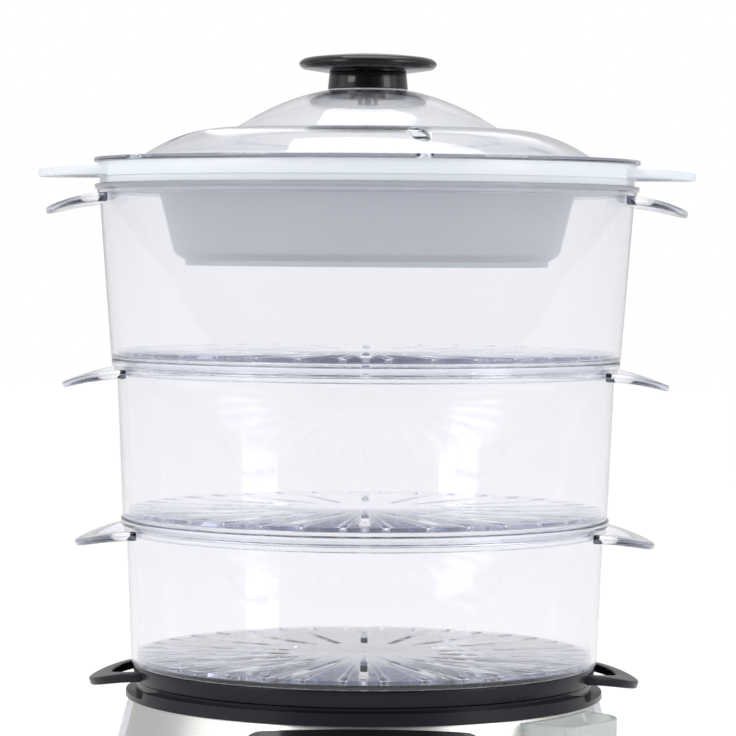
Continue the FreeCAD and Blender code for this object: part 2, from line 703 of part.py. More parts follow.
def make_gland():
    """Bushing in the back wall for the supply cord."""
    neck = GLAND_RADIUS - GLAND_FLANGE
    flange = gland_rod(GLAND_RADIUS, -GLAND_FLANGE_DEPTH, 5).common(housing_form(SKIN_PROUD / 2))
    body = joined([flange, gland_rod(neck, -GLAND_LENGTH, -GLAND_FLANGE_DEPTH / 2)])
    return body.cut(gland_rod(GLAND_BORE, -GLAND_LENGTH - 5, 20))


# Stack: drip tray, baskets, bowl and lid

def handles_on(body, handle):
    """A pair of handles, left and right, that end flush against what carries them."""
    return Part.makeCompound([grip.cut(body) for grip in both_sides(handle)])


def make_tray():
    """Ring tray with a gutter that hangs in the basin and a steam chimney in its middle."""
    band_inner = tray_radius - TRAY_WALL
    under = tray_z + TRAY_WALL
    pan_top = basin_radius - TRAY_GUTTER_GAP
    pan_low = pan_top - TRAY_PAN_TAPER
    low = tray_z - TRAY_PAN_DEPTH
    chimney_top = tray_z + CHIMNEY_RISE
    return turned(
        (tray_radius, tray_top_z),
        (tray_radius - COLLAR_DRAFT, tray_z),
        (pan_top, tray_z),
        (pan_low, low),
        (CHIMNEY_RADIUS, low),
        (CHIMNEY_RADIUS, chimney_top),
        (CHIMNEY_RADIUS + TRAY_WALL, chimney_top),
        (CHIMNEY_RADIUS + TRAY_WALL, low + TRAY_WALL),
        (pan_low - TRAY_WALL, low + TRAY_WALL),
        (pan_top - TRAY_WALL, under),
        (band_inner, under),
        (band_inner, tray_top_z),
    )


def make_tray_handles():
    """The drip tray's two loop handles."""
    top = tray_z + HANDLE_ROOT_THICKNESS + (TRAY_BAND_HEIGHT - HANDLE_ROOT_THICKNESS) / 4
    handle = loop_handle(tray_radius, TRAY_HANDLE_REACH, TRAY_HANDLE_HALF_WIDTH, top,
                         HANDLE_ROOT_THICKNESS, HANDLE_TIP_THICKNESS + 1, TRAY_HANDLE_FALL)
    return handles_on(make_tray(), handle)


def basket_sizes():
    """Foot height, rim height, foot radius, rim radius and skirt radius of each basket."""
    sizes = []
    below_z = tray_top_z
    below_radius = tray_radius
    below_inner = tray_radius - TRAY_WALL
    for height, step, taper in zip(BASKET_HEIGHTS, BASKET_STEPS, BASKET_TAPERS):
        foot_z = below_z + SEAT_GAP
        rim_z = foot_z + height
        foot_radius = below_radius + step
        rim_radius = foot_radius + taper
        sizes.append((foot_z, rim_z, foot_radius, rim_radius, below_inner - NEST_CLEARANCE))
        below_z = rim_z
        below_radius = rim_radius
        below_inner = rim_radius - BASKET_WALL
    return sizes


def make_basket(index):
    """Clear basket wall: tapered, with a rim band, a ledge for its floor and a skirt
    that nests in the rim below."""
    foot_z, rim_z, foot_radius, rim_radius, skirt_radius = basket_sizes()[index]
    band = RIM_HEIGHTS[index]
    rim_outer = rim_radius + RIM_WIDTHS[index]
    ledge_z = foot_z + BASKET_WALL
    return turned(
        (foot_radius, foot_z),
        (rim_radius, rim_z - band),
        (rim_outer - RIM_BEVEL, rim_z - band),
        (rim_outer, rim_z),
        (rim_radius - BASKET_WALL, rim_z),
        (foot_radius - BASKET_WALL, ledge_z),
        (skirt_radius - BASKET_WALL, ledge_z),
        (skirt_radius - BASKET_WALL, foot_z - SKIRT_DEPTH),
        (skirt_radius, foot_z - SKIRT_DEPTH),
        (skirt_radius, foot_z),
    )


def make_basket_handles(index):
    """A basket's two loop handles."""
    rim_z, rim_radius = basket_sizes()[index][1], basket_sizes()[index][3]
    rim_outer = rim_radius + RIM_WIDTHS[index] - RIM_BEVEL
    handle = loop_handle(rim_outer, BASKET_HANDLE_REACHES[index], BASKET_HANDLE_HALF_WIDTH,
                         rim_z - HANDLE_BELOW_RIM, HANDLE_ROOT_THICKNESS, HANDLE_TIP_THICKNESS, HANDLE_FALL)
    return handles_on(make_basket(index), handle)


def make_floor(index):
    """Clear perforated disc that lies on its basket's ledge."""
    foot_z, foot_radius = basket_sizes()[index][0], basket_sizes()[index][2]
    radius = foot_radius - BASKET_WALL - NEST_CLEARANCE
    low = foot_z + BASKET_WALL
    plate = rod(radius, low, low + FLOOR_THICKNESS)
    outer_middle = radius - FLOOR_EDGE - OUTER_SLOT_LENGTH / 2
    inner_middle = INNER_SLOT_RADIUS + INNER_SLOT_LENGTH / 2
    outer_slot = block(SLOT_WIDTH, OUTER_SLOT_LENGTH, 0, FAR, 0, -outer_middle)
    inner_slot = block(SLOT_WIDTH, INNER_SLOT_LENGTH, 0, FAR, 0, -inner_middle)
    slots = around(at_azimuth(outer_slot, 5), OUTER_SLOTS) + around(inner_slot, INNER_SLOTS)
    return plate.cut(slots)


top_rim_z = basket_sizes()[-1][1]
top_rim_radius = basket_sizes()[-1][3]
bowl_radius = top_rim_radius + BOWL_RIM_OUT
bowl_z = top_rim_z + SEAT_GAP
bowl_top_z = bowl_z + BOWL_RIM_HEIGHT
lid_z = bowl_top_z + SEAT_GAP
flange_top_z = lid_z + LID_WALL
knob_seat_z = flange_top_z + LID_SEAT_RISE


def make_bowl():
    """White bowl with a tall stepped rim, a slotted flange, a tapered tub and a foot ring."""
    skirt_radius = top_rim_radius - BASKET_WALL - NEST_CLEARANCE
    tub_radius = skirt_radius - TUB_INSET
    ring_radius = tub_radius - FOOT_RING_INSET
    slot_radius = skirt_radius - TUB_INSET / 2
    flange_z = bowl_z - BOWL_SKIRT_DEPTH
    floor_z = flange_z - TUB_DEPTH
    shoulder_radius = tub_radius - TUB_TAPER
    shoulder_z = floor_z + TUB_SHOULDER
    plate_z = floor_z + FOOT_RING_HEIGHT
    bowl = turned(
        (bowl_radius, bowl_top_z),
        (bowl_radius, bowl_z + BOWL_RIM_LOWER),
        (bowl_radius - BOWL_RIM_STEP, bowl_z + BOWL_RIM_LOWER),
        (bowl_radius - BOWL_RIM_STEP, bowl_z),
        (skirt_radius, bowl_z),
        (skirt_radius, flange_z),
        (tub_radius, flange_z),
        (shoulder_radius, shoulder_z),
        (shoulder_radius - TUB_SHOULDER_DRAFT, plate_z + BOWL_WALL),
        (ring_radius, plate_z),
        (ring_radius, floor_z),
        (ring_radius - BOWL_WALL, floor_z),
        (ring_radius - BOWL_WALL, plate_z),
        (0, plate_z),
        (0, plate_z + BOWL_WALL),
        (ring_radius - BOWL_WALL, plate_z + BOWL_WALL),
        (shoulder_radius - BOWL_WALL, shoulder_z + BOWL_WALL),
        (tub_radius - BOWL_WALL, flange_z + BOWL_WALL),
        (bowl_radius - BOWL_WALL, flange_z + BOWL_WALL),
        (bowl_radius - BOWL_WALL, bowl_top_z),
    )
    slot = block(BOWL_SLOT_LENGTH, BOWL_SLOT_WIDTH, flange_z - 1, bowl_z, 0, -slot_radius)
    return bowl.cut(around(slot, BOWL_SLOTS))


def make_bowl_handles():
    """The rice bowl's two loop handles."""
    handle = loop_handle(bowl_radius, BOWL_HANDLE_REACH, BOWL_HANDLE_HALF_WIDTH,
                         bowl_top_z - BOWL_HANDLE_BELOW_RIM, HANDLE_ROOT_THICKNESS,
                         HANDLE_ROOT_THICKNESS - 1, BOWL_HANDLE_FALL)
    return handles_on(make_bowl(), handle)


def lid_line(drop, dome_steps, hump_steps):
    """Line of the lid from the knob's seat out to its flange, lowered by a drop."""
    seat = (LID_SEAT_RADIUS, knob_seat_z - drop)
    dome_edge = (DOME_RADIUS, knob_seat_z - DOME_EDGE_DROP - drop)
    hump_start = (HUMP_INNER_RADIUS, flange_top_z + HUMP_INNER_RISE - drop)
    hump_end = (HUMP_OUTER_RADIUS, flange_top_z - drop)
    dome = bulged(seat, dome_edge, DOME_SAG, dome_steps)
    hump = bulged(hump_start, hump_end, HUMP_CREST, hump_steps)
    return [seat] + dome + [hump_start] + hump


def make_lid():
    """Clear lid: knob seat, dome, ring-shaped hump, flat flange and a locating skirt."""
    radius = bowl_radius + LID_OVERHANG
    skirt_radius = bowl_radius - BOWL_WALL - NEST_CLEARANCE
    hole = KNOB_SCREW_RADIUS + PLUG_CLEARANCE
    outside = [(hole, knob_seat_z)] + lid_line(0, 3, 5)
    flange = [
        (radius, flange_top_z),
        (radius, lid_z),
        (skirt_radius, lid_z),
        (skirt_radius, lid_z - LID_SKIRT_DEPTH),
        (skirt_radius - LID_WALL, lid_z - LID_SKIRT_DEPTH),
        (skirt_radius - LID_WALL, lid_z),
    ]
    inside = lid_line(LID_WALL, 3, 5)[::-1] + [(hole, knob_seat_z - LID_WALL)]
    lid = turned(*outside, *flange, *inside)
    vent = rounded_plate(VENT_WIDTH, VENT_LENGTH, VENT_WIDTH / 2 - 0.01, lid_z, FAR * 2, 0, -VENT_RADIUS)
    return lid.cut(around(at_azimuth(vent, VENT_AZIMUTH), VENT_COUNT))


stem_z = knob_seat_z + KNOB_GASKET_THICKNESS
cap_z = stem_z + KNOB_STEM_HEIGHT


def make_knob_gasket():
    """Pale ring between the lid and the knob's stem."""
    return ring(KNOB_SCREW_RADIUS + PLUG_CLEARANCE, KNOB_STEM_RADIUS - 0.6, knob_seat_z, stem_z)


def make_knob_stem():
    """Round stem, hollow above a web that the screw passes."""
    return turned(
        (KNOB_SCREW_RADIUS + PLUG_CLEARANCE, stem_z),
        (KNOB_STEM_RADIUS, stem_z),
        (KNOB_STEM_RADIUS - 0.8, cap_z),
        (KNOB_SCREW_RADIUS + PLUG_CLEARANCE, cap_z),
    )


def make_knob_cap():
    """Mushroom cap with a domed top, a rounded edge and a lip round its underside."""
    top = cap_z + KNOB_HEIGHT
    wide = cap_z + KNOB_EDGE
    cap = turned(
        (0, top),
        (KNOB_RADIUS * 0.5, top - 0.7),
        (KNOB_RADIUS - 5, top - 2.2),
        (KNOB_RADIUS - 1.4, top - 3.6),
        (KNOB_RADIUS, wide),
        (KNOB_RADIUS - 2.2, cap_z + KNOB_LIP),
        (KNOB_STEM_RADIUS + 2, cap_z),
        (0, cap_z),
    )
    return cap.cut(rod(KNOB_SCREW_RADIUS + PLUG_CLEARANCE, 0, cap_z + KNOB_SOCKET_DEPTH))


def make_knob_washer():
    """Washer under the lid's seat."""
    low = knob_seat_z - LID_WALL - KNOB_WASHER_THICKNESS
    return ring(KNOB_SCREW_RADIUS + PLUG_CLEARANCE, KNOB_WASHER_RADIUS, low, knob_seat_z - LID_WALL)


def make_knob_screw():
    """Screw up through the lid and stem into the cap."""
    head_top = knob_seat_z - LID_WALL - KNOB_WASHER_THICKNESS
    head = rod(KNOB_SCREW_HEAD_RADIUS, head_top - KNOB_SCREW_HEAD_HEIGHT, head_top)
    shank = rod(KNOB_SCREW_RADIUS, head_top - KNOB_SCREW_HEAD_HEIGHT / 2, cap_z + KNOB_SOCKET_DEPTH - SEAT_GAP)
    return joined([head, shank])


def make_parts():
    """Every piece by its name."""
    parts = {
        "base_housing": make_housing(),
        "front_skin": make_front_skin(),
        "base_collar": make_collar(),
        "base_cover": make_cover(),
        "rubber_feet": make_feet(),
        "cover_screws": make_cover_screws(),
        "water_basin": make_basin(),
        "heater_gasket": make_heater_gasket(),
        "heater_plate": make_heater_plate(),
        "heating_element": make_heating_element(),
        "heater_thermostat": make_thermostat(),
        "control_panel": make_panel(),
        "display_window": make_lens(),
        "display_module": make_display(),
        "control_board": make_board(),
        "button_switches": make_switches(),
        "water_filler": make_filler(),
        "filler_seal": make_filler_seal(),
        "cord_gland": make_gland(),
        "drip_tray": make_tray(),
        "tray_handles": make_tray_handles(),
        "rice_bowl": make_bowl(),
        "bowl_handles": make_bowl_handles(),
        "lid": make_lid(),
        "knob_gasket": make_knob_gasket(),
        "knob_stem": make_knob_stem(),
        "knob_cap": make_knob_cap(),
        "knob_washer": make_knob_washer(),
        "knob_screw": make_knob_screw(),
    }
    for name, x in zip(("button_power", "button_minus", "button_plus", "button_menu"), button_places()):
        parts[name] = make_button(x)
    for index, name in enumerate(("bottom", "middle", "top")):
        parts[name + "_basket"] = make_basket(index)
        parts[name + "_basket_handles"] = make_basket_handles(index)
        parts[name + "_basket_floor"] = make_floor(index)
    return parts


os.makedirs("parts", exist_ok=True)
for part_name, part_shape in make_parts().items():
    part_shape.exportStep("parts/" + part_name + ".step")
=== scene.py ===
import json
import math

import bmesh
import bpy
from mathutils import Matrix, Vector
from mathutils.bvhtree import BVHTree


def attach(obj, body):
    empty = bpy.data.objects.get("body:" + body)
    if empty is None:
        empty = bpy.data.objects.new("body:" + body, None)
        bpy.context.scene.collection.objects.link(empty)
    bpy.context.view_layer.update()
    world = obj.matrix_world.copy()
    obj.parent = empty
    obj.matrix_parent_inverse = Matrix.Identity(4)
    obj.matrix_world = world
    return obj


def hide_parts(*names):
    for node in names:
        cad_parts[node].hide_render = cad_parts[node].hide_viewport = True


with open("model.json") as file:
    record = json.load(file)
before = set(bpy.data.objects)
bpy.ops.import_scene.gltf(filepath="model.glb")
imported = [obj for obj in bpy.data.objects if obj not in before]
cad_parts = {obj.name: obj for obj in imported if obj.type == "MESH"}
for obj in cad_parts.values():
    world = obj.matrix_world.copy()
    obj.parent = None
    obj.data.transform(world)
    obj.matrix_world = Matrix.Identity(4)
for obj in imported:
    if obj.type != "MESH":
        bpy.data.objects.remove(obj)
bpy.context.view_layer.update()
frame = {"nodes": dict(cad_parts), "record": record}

# Lengths are written in millimetres and turned to metres by MM. The stack's axis is Z.
MM = 0.001
TURNS = 192
POLE_R = 1.0            # radius of the flat pole that closes a turned solid
WALL = 2.3              # wall of the baskets and the tray
ROUND_SEGMENTS = 6      # steps of a box's rounded edge
DOUBLES = 0.002         # vertices nearer than this are merged

# Base
HOUSING_LOW = 6.0
HOUSING_R = 117.4
HOUSING_FLARE = 22.6
DECK_Z = 92.0
COLLAR_TOP = 98.0
COLLAR_R = 119.25
COLLAR_TOP_R = 118.75
COLLAR_INNER_R = 117.0
COLLAR_FLOOR = 93.9
SEAT_TOP = 99.7
SEAT_INNER_R = 111.4
SEAT_OUTER_R = 113.9
NOTCH_WIDTH = 100.8
NOTCH_HEIGHT = 60.0
NOTCH_MIDDLE = 124.4
NOTCH_ROUND = 2.5

# Water filler
FILLER_AZIMUTH = 52.0
FILLER_FRONT = 144.4
FILLER_BACK = 58.7
FILLER_WIDTH = 52.0
FILLER_LOW = 34.5
FILLER_TOP = 90.5
FILLER_WALL = 2.2
FILLER_GAP = 0.45
FILLER_LEFT_ROUND = 9.0
FILLER_RIGHT_ROUND = 20.0
SPOUT_Z = 42.5
SPOUT_R = 6.0
SPOUT_BORE = 4.4

# Drip tray
TRAY_Z = 100.0
TRAY_TOP = 108.2
TRAY_R = 115.5
TRAY_FOOT_R = 115.0
TRAY_LEDGE_R = 102.4
POOL_R = 100.4
POOL_Z = 89.0
CHIMNEY_R = 36.0
CHIMNEY_TOP = 104.0

# Baskets: foot height, rim height, foot radius, rim radius, skirt radius, rim band, rim width, handle reach
BASKETS = {
    "bottom_basket": (108.5, 180.5, 116.5, 119.0, 112.7, 7.0, 3.0, 23.8),
    "middle_basket": (180.8, 259.5, 121.0, 124.0, 116.2, 7.0, 3.0, 25.3),
    "top_basket": (259.8, 346.0, 127.0, 133.25, 121.2, 4.8, 2.5, 25.05),
}
SKIRT_DEPTH = 5.0
FLOOR_THICK = 2.0
FLOOR_GAP = 0.5
SLOT_WIDTH = 3.5
OUTER_SLOT = 12.0
OUTER_SLOT_INSET = 7.8
INNER_SLOT = 40.0
INNER_SLOT_R = 58.0

# Rice bowl
BOWL_FOOT_Z = 306.3
BOWL_FLOOR = 308.9
BOWL_FLANGE_Z = 342.3
BOWL_Z = 346.3
BOWL_STEP = 349.6
BOWL_TOP = 356.7
BOWL_WALL = 2.5
BOWL_FOOT_R = 88.0
TUB_R = 96.3
TUB_Z = 313.3
TUB_BEVEL = 1.5
TUB_TOP_R = 103.5
BOWL_SKIRT_R = 130.45
BOWL_BAND_R = 133.2
BOWL_R = 134.0
BOWL_SLOT = (12.0, 5.0, 8.0)
BOWL_SLOT_PLACE = (0, -117.0, 343.5)

# Lid and knob
LID_Z = 357.0
LID_LIP_Z = 353.0
FLANGE_TOP = 359.0
KNOB_SEAT = 393.5
LID_WALL = 2.0
LID_R = 136.0
LID_LIP_R = 131.0
KNOB_SEAT_R = 20.5
DOME_R = 58.5
DOME_DEPTH = 14.5
DOME_RISE = 2.0
HUMP_INNER_R = 67.0
HUMP_OUTER_R = 114.0
HUMP_HEIGHT = 14.8
HUMP_RISE = 4.6
VENT = (8.0, 17.0, 60.0)
VENT_PLACE = (0, -93.0, 388.0)
SCREW_BORE = 2.6
STEM_Z = 394.0
STEM_R = 20.0
STEM_TOP_R = 19.2
CAP_Z = 402.6
CAP_TOP = 412.0
CAP_R = 34.4
SOCKET_TOP = 405.6
# How far the cap's rounded edge lies inside its radius and below its top
CAP_EDGE = ((2.4, 2.8), (1.0, 3.7), (0.2, 4.6), (0.0, 5.4), (0.3, 6.2), (1.4, 7.4), (2.4, 7.9))

# Loop handles
ARM_WIDTH = 7.0
LOOP_TIP_WIDTH = 11.5
LOOP_SINK = 1.0
LOOP_FRAMES = 29
LOOP_ROUND = 0.8
LOOP_HALF = 46.0
LOOP_ROOT = 4.6

# Signs on the buttons
SIGN_THICK = 1.0
SIGN_PROUD = 0.15
SIGN_ROUND = 0.12
SIGN_LENGTH = 5.4

# Light
INSIDE_BOUNCES = 9.5
FLOOR_GLOW = 0.75
TENT_WALLS = ((0.0, 0.08), (0.17, 0.14), (0.27, 0.85), (0.46, 0.9), (0.56, 0.38), (1.0, 0.3))
TENT_GAIN = 1.9
TENT_TOP = 0.75


def deselect():
    """Leaves edit mode and selects nothing."""
    if bpy.context.object and bpy.context.object.mode != "OBJECT":
        bpy.ops.object.mode_set(mode="OBJECT")
    bpy.ops.object.select_all(action="DESELECT")


def take(piece):
    """Makes one piece the only selected one."""
    deselect()
    piece.select_set(True)
    bpy.context.view_layer.objects.active = piece


def pick_vertices(piece, test):
    """In edit mode, selects the vertices whose place passes a test."""
    mesh = bmesh.from_edit_mesh(piece.data)
    for vertex in mesh.verts:
        vertex.select = test(vertex.co / MM)
    mesh.select_flush_mode()
    mesh.select_flush(True)
    bmesh.update_edit_mesh(piece.data)


def turned(name, outline, closed=True, turns=TURNS):
    """A piece turned about the stack's axis: a circle carried round its outline.
    A closed outline joins its own start; an open one starts and ends in a small flat pole."""
    deselect()
    radius, height = outline[0]
    bpy.ops.mesh.primitive_circle_add(vertices=turns, radius=radius * MM, location=(0, 0, height * MM))
    piece = bpy.context.active_object
    bpy.ops.object.transform_apply(location=True, rotation=True, scale=True)
    bpy.ops.object.mode_set(mode="EDIT")
    bpy.ops.mesh.select_mode(type="VERT")
    bpy.ops.mesh.select_all(action="SELECT")
    stops = outline[1:] + (outline[:1] if closed else [])
    for next_radius, next_height in stops:
        bpy.ops.mesh.extrude_region_move(
            TRANSFORM_OT_translate={"value": (0, 0, (next_height - height) * MM)})
        ratio = next_radius / radius
        bpy.ops.transform.resize(value=(ratio, ratio, 1), center_override=(0, 0, 0))
        radius, height = next_radius, next_height
    if not closed:
        bpy.ops.mesh.edge_face_add()
        first, near = outline[0], 0.01
        pick_vertices(piece, lambda co: abs(co.z - first[1]) < near and abs(co.xy.length - first[0]) < near)
        bpy.ops.mesh.edge_face_add()
    bpy.ops.mesh.select_all(action="SELECT")
    bpy.ops.mesh.remove_doubles(threshold=DOUBLES * MM)
    bpy.ops.mesh.normals_make_consistent(inside=False)
    bpy.ops.object.mode_set(mode="OBJECT")
    piece.name = piece.data.name = name
    return piece


def rounded(piece, width, segments=3, angle=30):
    """Rounds the sharp edges of a piece."""
    take(piece)
    bevel = piece.modifiers.new("rounded_edges", "BEVEL")
    bevel.width = width * MM
    bevel.segments = segments
    bevel.limit_method = "ANGLE"
    bevel.angle_limit = math.radians(angle)
    bpy.ops.object.modifier_apply(modifier=bevel.name)
    return piece


def one_piece(pieces):
    """Joins loose tools or copies into one object."""
    take(pieces[0])
    for piece in pieces[1:]:
        piece.select_set(True)
    if len(pieces) > 1:
        bpy.ops.object.join()
    return bpy.context.active_object


def combine(piece, tool, way):
    """Adds a tool to a piece or takes it away from it."""
    take(piece)
    step = piece.modifiers.new(way.lower(), "BOOLEAN")
    step.operation = way
    step.solver = "EXACT"
    step.object = tool
    bpy.ops.object.modifier_apply(modifier=step.name)
    bpy.data.objects.remove(tool)
    return piece


def spun_copies(tool, count, first=0.0):
    """Copies of a tool evenly round the axis, joined as one. The first is turned by an angle."""
    copies = []
    for i in range(count):
        copy = tool.copy()
        copy.data = tool.data.copy()
        bpy.context.scene.collection.objects.link(copy)
        copy.data.transform(Matrix.Rotation(math.radians(first + 360 * i / count), 4, "Z"))
        copies.append(copy)
    bpy.data.objects.remove(tool)
    return one_piece(copies)


def box_tool(size, centre, round_by=0.0, upright=True):
    """Box, with its upright edges rounded or else those along X, for slots and cuts."""
    deselect()
    bpy.ops.mesh.primitive_cube_add(size=1, location=[c * MM for c in centre],
                                    scale=[s * MM for s in size])
    tool = bpy.context.active_object
    bpy.ops.object.transform_apply(location=True, rotation=True, scale=True)
    if round_by:
        bpy.ops.object.mode_set(mode="EDIT")
        bpy.ops.mesh.select_mode(type="EDGE")
        mesh = bmesh.from_edit_mesh(tool.data)
        for edge in mesh.edges:
            line = (edge.verts[0].co - edge.verts[1].co).normalized()
            edge.select = abs(line.z) > 0.9 if upright else abs(line.x) > 0.9
        bmesh.update_edit_mesh(tool.data)
        bpy.ops.mesh.bevel(offset=round_by * MM, segments=ROUND_SEGMENTS)
        bpy.ops.object.mode_set(mode="OBJECT")
    return tool


def loop_band(rim, reach, half, top, root_thick, tip_thick, fall):
    """A pair of loop handles: frames set along a D, bridged into a band that arches to its tip."""
    tip, seat, inner_half = rim + reach, rim - LOOP_SINK, half - ARM_WIDTH
    outer_x = math.sqrt(seat ** 2 - half ** 2)
    inner_x = math.sqrt(seat ** 2 - inner_half ** 2)

    def arc_point(start_x, start_y, end_x, t):
        """Point at a share t of the arc that runs through the tip and both arms' roots."""
        centre = (end_x ** 2 - start_x ** 2 - start_y ** 2) / (2 * (end_x - start_x))
        swing = math.atan2(start_y, start_x - centre) * t
        return Vector((centre + (end_x - centre) * math.cos(swing), (end_x - centre) * math.sin(swing), 0))

    def drop(x):
        """Share of the whole fall at a distance from the axis, steeper towards the tip."""
        s = max(0.0, (x - outer_x) / (tip - outer_x))
        return 0.2 * s + 0.8 * s * s

    deselect()
    bpy.ops.mesh.primitive_plane_add(size=1)
    band = bpy.context.active_object
    bpy.ops.object.mode_set(mode="EDIT")
    bpy.ops.mesh.select_mode(type="VERT")
    bpy.ops.mesh.select_all(action="SELECT")
    bpy.ops.mesh.delete(type="VERT")
    low_fall = fall + tip_thick - root_thick
    for i in range(LOOP_FRAMES):
        t = 2 * i / (LOOP_FRAMES - 1) - 1
        outer = arc_point(outer_x, half, tip, t)
        inner = arc_point(inner_x, inner_half, tip - LOOP_TIP_WIDTH, t)
        thick = 0.0
        for point in (outer, inner):
            upper = top - fall * drop(point.x)
            lower = top - root_thick - low_fall * drop(point.x)
            point.z = (upper + lower) / 2
            thick += (upper - lower) / 2
        spread = (outer - inner).normalized()
        along = Vector((0, 0, 1)).cross(spread).normalized()
        axes = Matrix((spread, along.cross(spread), along)).transposed()
        middle = (outer + inner) / 2 * MM
        bpy.ops.mesh.primitive_plane_add(size=1, location=middle, rotation=axes.to_euler())
        bpy.ops.transform.resize(
            value=((outer - inner).length * MM, thick * MM, 1), orient_type="GLOBAL",
            orient_matrix=axes, orient_matrix_type="GLOBAL", center_override=middle)
        if 0 < i < LOOP_FRAMES - 1:
            bpy.ops.mesh.delete(type="ONLY_FACE")
    bpy.ops.mesh.select_all(action="SELECT")
    mesh = bmesh.from_edit_mesh(band.data)
    for face in mesh.faces:
        face.select = False
    for edge in mesh.edges:
        edge.select = True
    bmesh.update_edit_mesh(band.data)
    bpy.ops.mesh.bridge_edge_loops()
    bpy.ops.mesh.select_all(action="SELECT")
    bpy.ops.mesh.normals_make_consistent(inside=False)
    bpy.ops.object.mode_set(mode="OBJECT")
    rounded(band, LOOP_ROUND, 3, 40)
    return spun_copies(band, 2)


# Finishes

def finish(name, colour, roughness, metallic=0.0, ior=1.5, clear=0.0, coat=0.0, shine=0.5, second=None,
           patch=35.0, spread=0.05, grain=900.0, relief=0.04, stretch=(1, 1, 1)):
    """A material whose tone and roughness drift a little and whose surface has a fine grain."""
    material = bpy.data.materials.new(name)
    material.use_nodes = True
    nodes, links = material.node_tree.nodes, material.node_tree.links
    shader = nodes["Principled BSDF"]
    shader.inputs["Base Color"].default_value = (*colour, 1)
    shader.inputs["Metallic"].default_value = metallic
    shader.inputs["IOR"].default_value = ior
    shader.inputs["Transmission Weight"].default_value = clear
    shader.inputs["Coat Weight"].default_value = coat
    shader.inputs["Coat Roughness"].default_value = 0.08
    shader.inputs["Specular IOR Level"].default_value = shine
    place = nodes.new("ShaderNodeTexCoord")
    mapping = nodes.new("ShaderNodeMapping")
    mapping.inputs["Scale"].default_value = stretch
    links.new(place.outputs["Object"], mapping.inputs["Vector"])
    patches = nodes.new("ShaderNodeTexNoise")
    patches.inputs["Scale"].default_value = patch
    patches.inputs["Detail"].default_value = 4
    links.new(mapping.outputs["Vector"], patches.inputs["Vector"])
    wear = nodes.new("ShaderNodeMapRange")
    wear.inputs["To Min"].default_value = max(0.0, roughness - spread)
    wear.inputs["To Max"].default_value = roughness + spread
    links.new(patches.outputs["Fac"], wear.inputs["Value"])
    links.new(wear.outputs["Result"], shader.inputs["Roughness"])
    if second is not None:
        tone = nodes.new("ShaderNodeMix")
        tone.data_type = "RGBA"
        tone.inputs["A"].default_value = (*colour, 1)
        tone.inputs["B"].default_value = (*second, 1)
        links.new(patches.outputs["Fac"], tone.inputs["Factor"])
        links.new(tone.outputs["Result"], shader.inputs["Base Color"])
    fine = nodes.new("ShaderNodeTexNoise")
    fine.inputs["Scale"].default_value = grain
    fine.inputs["Detail"].default_value = 3
    links.new(mapping.outputs["Vector"], fine.inputs["Vector"])
    bump = nodes.new("ShaderNodeBump")
    bump.inputs["Strength"].default_value = relief
    bump.inputs["Distance"].default_value = 0.0002
    links.new(fine.outputs["Fac"], bump.inputs["Height"])
    links.new(bump.outputs["Normal"], shader.inputs["Normal"])
    return material


def reckon(nodes, links, operation, *sources):
    """A Math node fed by sockets or plain numbers. Gives its output."""
    node = nodes.new("ShaderNodeMath")
    node.operation = operation
    for place, source in enumerate(sources):
        if isinstance(source, float):
            node.inputs[place].default_value = source
        else:
            links.new(source, node.inputs[place])
    return node.outputs[0]


def seen_directly(nodes, links):
    """One for light paths from the camera or out of clear plastic, nought for others."""
    path = nodes.new("ShaderNodeLightPath")
    return reckon(nodes, links, "MAXIMUM", path.outputs["Is Camera Ray"], path.outputs["Is Transmission Ray"])


def tinted(material, colour, density):
    """Gives a clear material the tint that it has through its thickness. Light that has
    bounced inside it many times leaves straight, so edges stay grey rather than black."""
    nodes, links = material.node_tree.nodes, material.node_tree.links
    depth = nodes.new("ShaderNodeVolumeAbsorption")
    depth.inputs["Color"].default_value = (*colour, 1)
    depth.inputs["Density"].default_value = density
    links.new(depth.outputs["Volume"], nodes["Material Output"].inputs["Volume"])
    path = nodes.new("ShaderNodeLightPath")
    late = reckon(nodes, links, "GREATER_THAN", path.outputs["Ray Depth"], INSIDE_BOUNCES)
    straight = nodes.new("ShaderNodeBsdfTransparent")
    either = nodes.new("ShaderNodeMixShader")
    links.new(late, either.inputs["Fac"])
    links.new(nodes["Principled BSDF"].outputs["BSDF"], either.inputs[1])
    links.new(straight.outputs["BSDF"], either.inputs[2])
    links.new(either.outputs["Shader"], nodes["Material Output"].inputs["Surface"])
    return material


